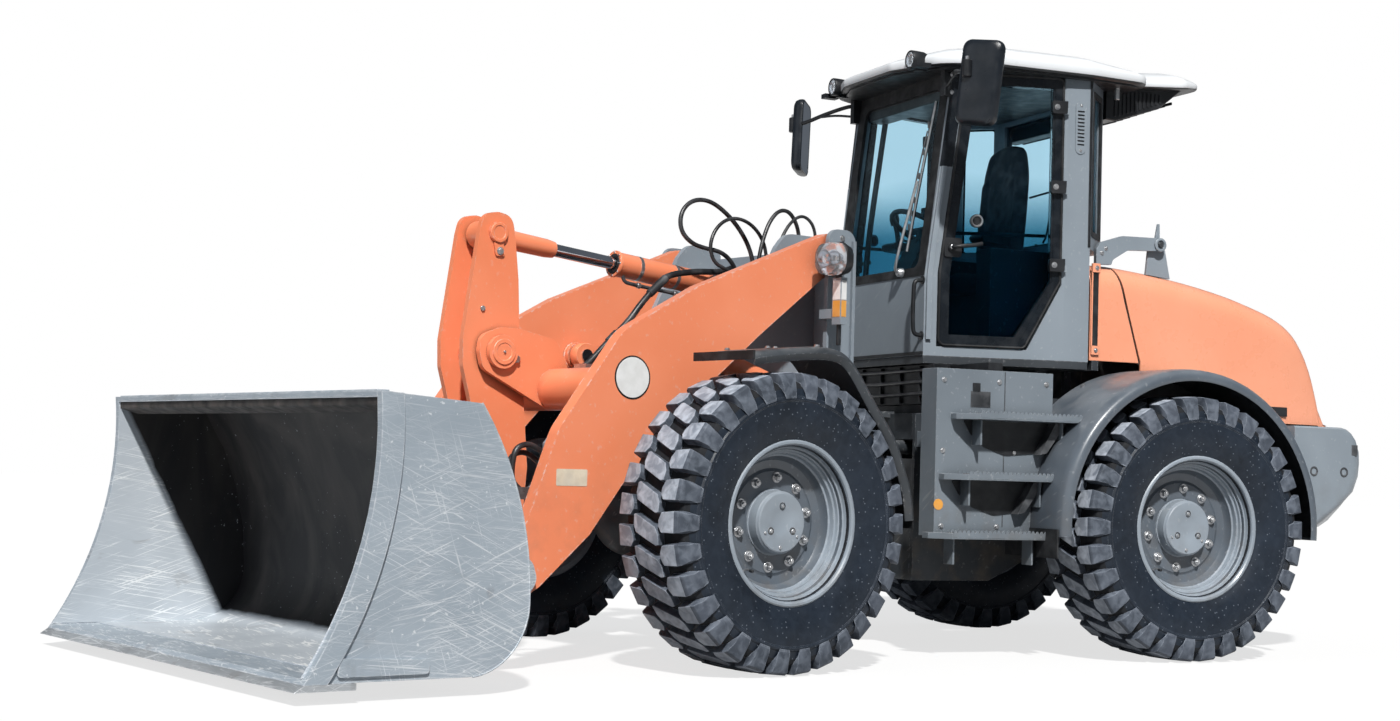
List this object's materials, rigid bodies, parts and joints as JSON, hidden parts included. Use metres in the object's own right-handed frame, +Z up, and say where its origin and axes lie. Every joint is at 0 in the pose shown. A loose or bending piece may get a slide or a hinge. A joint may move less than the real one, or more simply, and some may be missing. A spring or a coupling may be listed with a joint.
{
  "type": "wheel loader",
  "caption": "Articulated wheel loader with an orange Z-bar boom, bucket, grey frame, glazed cab, sloping hood and large lugged tyres.",
  "frame": {"origin": "on the ground below the middle of the whole machine's bounding box", "axes": "+Z up, the rear half points its hood along +Y and its cab looks along -Y, its left side is +X; the front half is steered 14.3 degrees to the left"},
  "size_m": [3.3176, 6.7462, 3.098],
  "materials": {
    "tyre": "dusty rubber",
    "wheel_grey": "semi-gloss paint",
    "frame_grey": "semi-gloss paint",
    "orange_paint": "gloss paint",
    "chrome_steel": "hard chrome",
    "bucket_steel": "scratched paint",
    "bare_steel": "worn bare steel",
    "cab_glass": "tinted glass",
    "white_roof": "gloss",
    "black_plastic": "satin",
    "hose_rubber": "satin",
    "red_lens": "clear lens",
    "engine_iron": "painted casting"
  },
  "bodies": {
    "rear_half": {"rear_frame": "frame_grey", "rear_axle": "frame_grey", "engine_block": "engine_iron", "counterweight": "frame_grey", "tail_lights": "red_lens", "hood_surround": "frame_grey", "cab_frame": "frame_grey", "cab_floor": "frame_grey", "cab_glass": "cab_glass", "cab_roof": "white_roof", "air_unit": "black_plastic", "roof_lamps": "black_plastic", "mirrors": "black_plastic", "seat": "black_plastic", "steering_column": "black_plastic", "steps": "frame_grey", "rear_fenders": "frame_grey"},
    "hood": {"hood": "orange_paint"},
    "door_left": {"door_left": "frame_grey", "door_glass_left": "cab_glass"},
    "door_right": {"door_right": "frame_grey", "door_glass_right": "cab_glass"},
    "front_half": {"front_frame": "frame_grey", "front_axle": "frame_grey", "valve_block": "black_plastic", "front_fenders": "frame_grey", "headlights": "black_plastic", "hose_high": "hose_rubber", "hose_low": "hose_rubber", "hose_rear": "hose_rubber", "hose_thin": "hose_rubber"},
    "boom": {"boom_arms": "orange_paint", "boom_cross_tube": "orange_paint"},
    "bucket_hinge": {"bucket_pins": "chrome_steel"},
    "bucket": {"bucket": "bucket_steel", "bucket_sides": "bucket_steel", "bucket_ears": "bucket_steel", "cutting_edge": "bare_steel"},
    "lever_pin": {"lever_pin": "chrome_steel"},
    "lever": {"lever": "orange_paint"},
    "link_pin": {"link_pin": "chrome_steel"},
    "tilt_link": {"tilt_link": "orange_paint"},
    "tilt_barrel": {"tilt_barrel": "orange_paint"},
    "tilt_rod": {"tilt_rod": "chrome_steel"},
    "wheel_front_left": {"tyre_front_left": "tyre", "rim_front_left": "wheel_grey"},
    "wheel_front_right": {"tyre_front_right": "tyre", "rim_front_right": "wheel_grey"},
    "wheel_rear_left": {"tyre_rear_left": "tyre", "rim_rear_left": "wheel_grey"},
    "wheel_rear_right": {"tyre_rear_right": "tyre", "rim_rear_right": "wheel_grey"},
    "lift_barrel_left": {"lift_barrel_left": "orange_paint"},
    "lift_rod_left": {"lift_rod_left": "chrome_steel"},
    "lift_barrel_right": {"lift_barrel_right": "orange_paint"},
    "lift_rod_right": {"lift_rod_right": "chrome_steel"},
    "steer_barrel_left": {"steer_barrel_left": "frame_grey"},
    "steer_rod_left": {"steer_rod_left": "chrome_steel"},
    "steer_barrel_right": {"steer_barrel_right": "frame_grey"},
    "steer_rod_right": {"steer_rod_right": "chrome_steel"}
  },
  "joints": [
    {"name": "steer", "type": "hinge", "parent": "rear_half", "child": "front_half", "pos_m": [-0.47329, 0.54812, 1.13], "axis": [0, 0, 1], "range_deg": [-54.3, 25.7]},
    {"name": "wheel_front_left_spin", "type": "hinge", "parent": "front_half", "child": "wheel_front_left", "pos_m": [0.79332, -0.52219, 0.655], "axis": [0.969, 0.247, 0], "continuous": true},
    {"name": "wheel_front_right_spin", "type": "hinge", "parent": "front_half", "child": "wheel_front_right", "pos_m": [-1.073, -0.99791, 0.655], "axis": [0.969, 0.247, 0], "continuous": true},
    {"name": "wheel_rear_left_spin", "type": "hinge", "parent": "rear_half", "child": "wheel_rear_left", "pos_m": [0.48971, 1.89812, 0.655], "axis": [1, 0, 0], "continuous": true},
    {"name": "wheel_rear_right_spin", "type": "hinge", "parent": "rear_half", "child": "wheel_rear_right", "pos_m": [-1.43629, 1.89812, 0.655], "axis": [1, 0, 0], "continuous": true},
    {"name": "boom_lift", "type": "hinge", "parent": "front_half", "child": "boom", "pos_m": [-0.29545, -0.14957, 1.905], "axis": [-0.969, -0.247, 0], "range_deg": [-1.5, 85]},
    {"name": "bucket_level", "type": "hinge", "parent": "boom", "child": "bucket_hinge", "pos_m": [0.12198, -1.78721, 0.39], "axis": [0.969, 0.247, 0], "range_deg": [-1.58, 86.75]},
    {"name": "bucket_tilt", "type": "hinge", "parent": "bucket_hinge", "child": "bucket", "pos_m": [0.12198, -1.78721, 0.39], "axis": [0.969, 0.247, 0], "range_deg": [-38, 45]},
    {"name": "lever_level", "type": "hinge", "parent": "boom", "child": "lever_pin", "pos_m": [0.07776, -1.61375, 1.369], "axis": [0.969, 0.247, 0], "range_deg": [-17.39, 0.36]},
    {"name": "lever_swing", "type": "hinge", "parent": "lever_pin", "child": "lever", "pos_m": [0.07776, -1.61375, 1.369], "axis": [0.969, 0.247, 0], "range_deg": [-10.38, 8.77]},
    {"name": "link_level", "type": "hinge", "parent": "bucket", "child": "link_pin", "pos_m": [0.16644, -1.96163, 0.57], "axis": [0.969, 0.247, 0], "range_deg": [-27.79, 0.54]},
    {"name": "link_swing", "type": "hinge", "parent": "link_pin", "child": "tilt_link", "pos_m": [0.16644, -1.96163, 0.57], "axis": [0.969, 0.247, 0], "range_deg": [-23, 19.43]},
    {"name": "tilt_barrel_swing", "type": "hinge", "parent": "front_half", "child": "tilt_barrel", "pos_m": [-0.30286, -0.1205, 1.755], "axis": [-0.969, -0.247, 0], "range_deg": [-1.45, 79.12]},
    {"name": "tilt_rod_slide", "type": "slide", "parent": "tilt_barrel", "child": "tilt_rod", "axis": [0.2459, -0.9646, 0.0958], "range_m": [-0.10424, 0.08804]},
    {"name": "lift_barrel_left_swing", "type": "hinge", "parent": "front_half", "child": "lift_barrel_left", "pos_m": [0.11059, 0.16032, 1.15], "axis": [-0.969, -0.247, 0], "range_deg": [-0.83, 44.05]},
    {"name": "lift_rod_left_slide", "type": "slide", "parent": "lift_barrel_left", "child": "lift_rod_left", "axis": [0.2349, -0.9215, 0.3093], "range_m": [-0.01193, 0.67054]},
    {"name": "lift_barrel_right_swing", "type": "hinge", "parent": "front_half", "child": "lift_barrel_right", "pos_m": [-0.80029, -0.07186, 1.15], "axis": [-0.969, -0.247, 0], "range_deg": [-0.83, 44.05]},
    {"name": "lift_rod_right_slide", "type": "slide", "parent": "lift_barrel_right", "child": "lift_rod_right", "axis": [0.2349, -0.9215, 0.3093], "range_m": [-0.01193, 0.67054]},
    {"name": "steer_barrel_left_swing", "type": "hinge", "parent": "rear_half", "child": "steer_barrel_left", "pos_m": [-0.28829, 1.09812, 1.018], "axis": [0, 0, 1], "range_deg": [-19.88, 9.44]},
    {"name": "steer_rod_left_slide", "type": "slide", "parent": "steer_barrel_left", "child": "steer_rod_left", "axis": [0.2271, -0.9739, 0], "range_m": [-0.11745, 0.24805]},
    {"name": "steer_barrel_right_swing", "type": "hinge", "parent": "rear_half", "child": "steer_barrel_right", "pos_m": [-0.65829, 1.09812, 1.018], "axis": [0, 0, 1], "range_deg": [-19.88, 9.44]},
    {"name": "steer_rod_right_slide", "type": "slide", "parent": "steer_barrel_right", "child": "steer_rod_right", "axis": [-0.0507, -0.9987, 0], "range_m": [-0.24805, 0.11745]},
    {"name": "door_left_swing", "type": "hinge", "parent": "rear_half", "child": "door_left", "pos_m": [0.18107, 1.41736, 2.33], "axis": [0, 0, 1], "range_deg": [0, 90]},
    {"name": "door_right_swing", "type": "hinge", "parent": "rear_half", "child": "door_right", "pos_m": [-1.12765, 1.41736, 2.33], "axis": [0, 0, -1], "range_deg": [0, 90]},
    {"name": "hood_lift", "type": "hinge", "parent": "rear_half", "child": "hood", "pos_m": [-0.47329, 2.04812, 2.12], "axis": [1, 0, 0], "range_deg": [0, 50]}
  ],
  "couplings": [
    {"joint": "bucket_level", "follows": "boom_lift", "ratio": 1},
    {"joint": "lever_level", "follows": "boom_lift", "ratio": -0.2},
    {"joint": "lever_swing", "follows": "bucket_tilt", "ratio": -0.225},
    {"joint": "link_level", "follows": "boom_lift", "ratio": -0.32},
    {"joint": "link_swing", "follows": "bucket_tilt", "ratio": -0.5},
    {"joint": "tilt_barrel_swing", "follows": "boom_lift", "ratio": 0.912},
    {"joint": "tilt_rod_slide", "follows": "bucket_tilt", "m_per_rad": -0.13},
    {"joint": "lift_barrel_left_swing", "follows": "boom_lift", "ratio": 0.50754},
    {"joint": "lift_rod_left_slide", "follows": "boom_lift", "m_per_rad": 0.44306},
    {"joint": "lift_barrel_right_swing", "follows": "boom_lift", "ratio": 0.50754},
    {"joint": "lift_rod_right_slide", "follows": "boom_lift", "m_per_rad": 0.44306},
    {"joint": "steer_barrel_left_swing", "follows": "steer", "ratio": 0.358},
    {"joint": "steer_rod_left_slide", "follows": "steer", "m_per_rad": -0.2565},
    {"joint": "steer_barrel_right_swing", "follows": "steer", "ratio": 0.358},
    {"joint": "steer_rod_right_slide", "follows": "steer", "m_per_rad": 0.2565}
  ]
}
